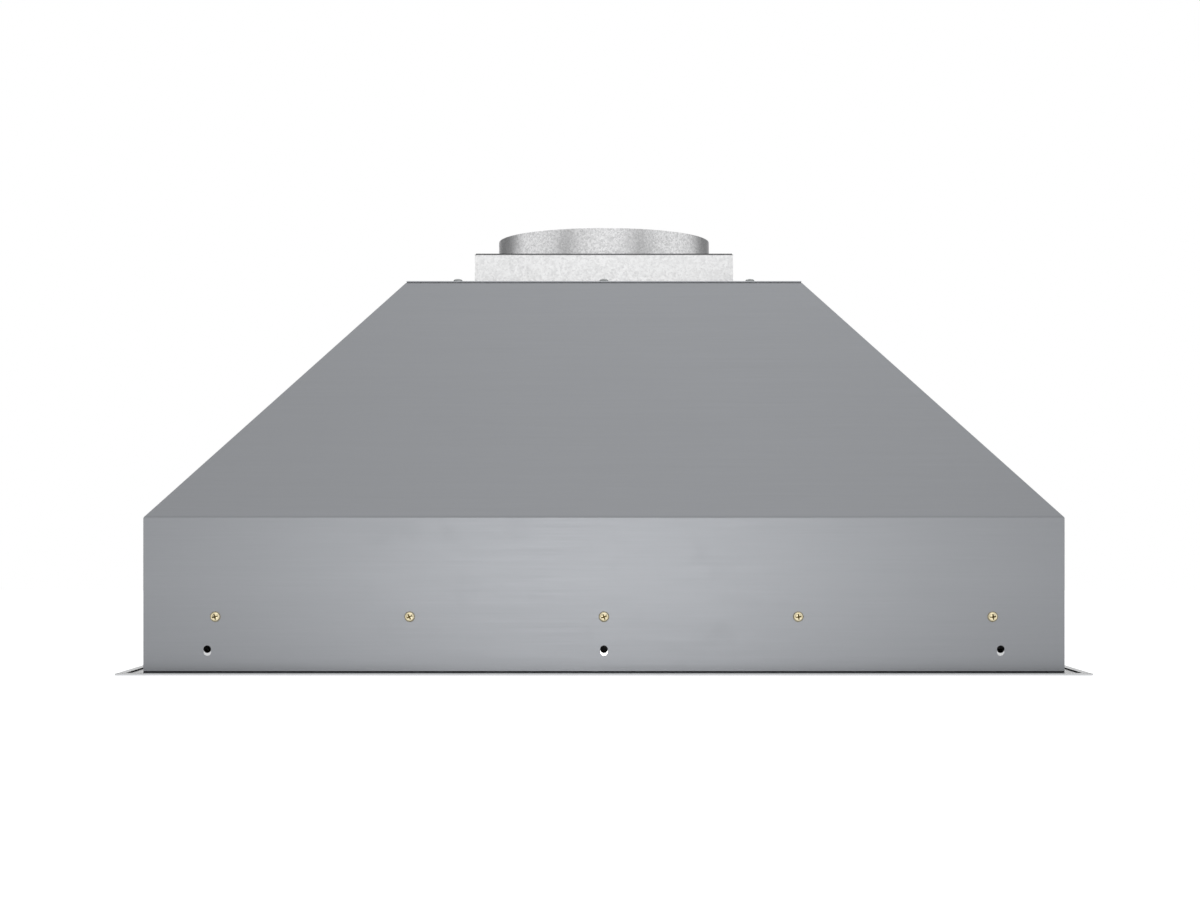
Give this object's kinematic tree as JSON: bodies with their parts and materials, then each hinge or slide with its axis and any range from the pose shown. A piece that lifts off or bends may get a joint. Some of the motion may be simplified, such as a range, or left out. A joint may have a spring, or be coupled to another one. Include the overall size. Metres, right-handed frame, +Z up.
{
  "type": "range hood insert",
  "caption": "Built-in range hood insert: flanged liner, sloping canopy, baffle filters, lamp and button strip, inner blower and round duct collar with damper.",
  "frame": {"origin": "middle of the flange's underside, at the bottom of the box round the whole part", "axes": "+X along the width, to the right seen from the front; -Y is the front; +Z up, towards the duct collar"},
  "size_m": [0.711, 0.49, 0.3485],
  "materials": {
    "body_steel": "satin grey",
    "stainless": "brushed",
    "galvanised": "zinc coated",
    "screw_zinc": "yellow passivated zinc",
    "motor_paint": "satin",
    "black_plastic": "matte",
    "pale_plastic": "matte",
    "board": "solder mask",
    "lamp_lens": "frosted",
    "lamp_alloy": "cast",
    "button_steel": "polished",
    "bushing_rubber": "matte"
  },
  "bodies": {
    "hood": {"liner": "stainless", "front_panel": "body_steel", "rear_panel": "body_steel", "left_panel": "body_steel", "right_panel": "body_steel", "top_plate": "body_steel", "adapter_box": "galvanised", "collar_plate": "galvanised", "duct_collar": "galvanised", "damper_rod": "stainless", "collar_rivets": "lamp_alloy", "adapter_screws": "screw_zinc", "top_plate_screws": "screw_zinc", "liner_screws": "screw_zinc", "front_strip": "stainless", "rear_ledge": "stainless", "filter_clips": "stainless", "button_bezel": "stainless", "switch_board": "board", "switch_housing": "black_plastic", "lamp_bezel_left": "button_steel", "lamp_bezel_right": "button_steel", "lamp_lens_left": "lamp_lens", "lamp_lens_right": "lamp_lens", "lamp_body_left": "lamp_alloy", "lamp_body_right": "lamp_alloy", "scroll_wrap": "galvanised", "scroll_side_left": "galvanised", "scroll_side_right": "galvanised", "inlet_bell_left": "galvanised", "inlet_bell_right": "galvanised", "motor_body": "motor_paint", "motor_bracket": "galvanised", "bracket_screws": "screw_zinc", "blower_screws": "screw_zinc", "junction_box": "galvanised", "junction_cover": "galvanised", "terminal_block": "pale_plastic", "capacitor": "lamp_alloy", "cable_bushing": "bushing_rubber"},
    "wheel": {"impeller": "galvanised", "motor_shaft": "stainless", "impeller_nut": "screw_zinc"},
    "flap_front": {"damper_flap_front": "galvanised"},
    "flap_rear": {"damper_flap_rear": "galvanised"},
    "filter_left": {"filter_frame_left": "stainless", "filter_baffles_left": "stainless", "filter_handle_left": "stainless"},
    "filter_right": {"filter_frame_right": "stainless", "filter_baffles_right": "stainless", "filter_handle_right": "stainless"},
    "button_1": {"button_1": "button_steel"},
    "button_2": {"button_2": "button_steel"},
    "button_3": {"button_3": "button_steel"},
    "button_4": {"button_4": "button_steel"},
    "button_5": {"button_5": "button_steel"}
  },
  "joints": [
    {"name": "wheel_spin", "type": "hinge", "parent": "hood", "child": "wheel", "pos_m": [0, -0.0436, 0.19], "axis": [1, 0, 0], "continuous": true},
    {"name": "flap_front_swing", "type": "hinge", "parent": "hood", "child": "flap_front", "pos_m": [0, 0, 0.335], "axis": [-1, 0, 0], "range_deg": [0, 80]},
    {"name": "flap_rear_swing", "type": "hinge", "parent": "hood", "child": "flap_rear", "pos_m": [0, 0, 0.335], "axis": [1, 0, 0], "range_deg": [0, 80]},
    {"name": "filter_left_tilt", "type": "hinge", "parent": "hood", "child": "filter_left", "pos_m": [-0.1673, 0.1981, 0.0239], "axis": [1, 0, 0], "range_deg": [0, 65]},
    {"name": "filter_right_tilt", "type": "hinge", "parent": "hood", "child": "filter_right", "pos_m": [0.1673, 0.1981, 0.0239], "axis": [1, 0, 0], "range_deg": [0, 65]},
    {"name": "button_1_press", "type": "slide", "parent": "hood", "child": "button_1", "axis": [0, 0, 1], "range_m": [0, 0.002], "stiffness_N_per_m": 600, "springref_m": -0.001},
    {"name": "button_2_press", "type": "slide", "parent": "hood", "child": "button_2", "axis": [0, 0, 1], "range_m": [0, 0.002], "stiffness_N_per_m": 600, "springref_m": -0.001},
    {"name": "button_3_press", "type": "slide", "parent": "hood", "child": "button_3", "axis": [0, 0, 1], "range_m": [0, 0.002], "stiffness_N_per_m": 600, "springref_m": -0.001},
    {"name": "button_4_press", "type": "slide", "parent": "hood", "child": "button_4", "axis": [0, 0, 1], "range_m": [0, 0.002], "stiffness_N_per_m": 600, "springref_m": -0.001},
    {"name": "button_5_press", "type": "slide", "parent": "hood", "child": "button_5", "axis": [0, 0, 1], "range_m": [0, 0.002], "stiffness_N_per_m": 600, "springref_m": -0.001}
  ]
}
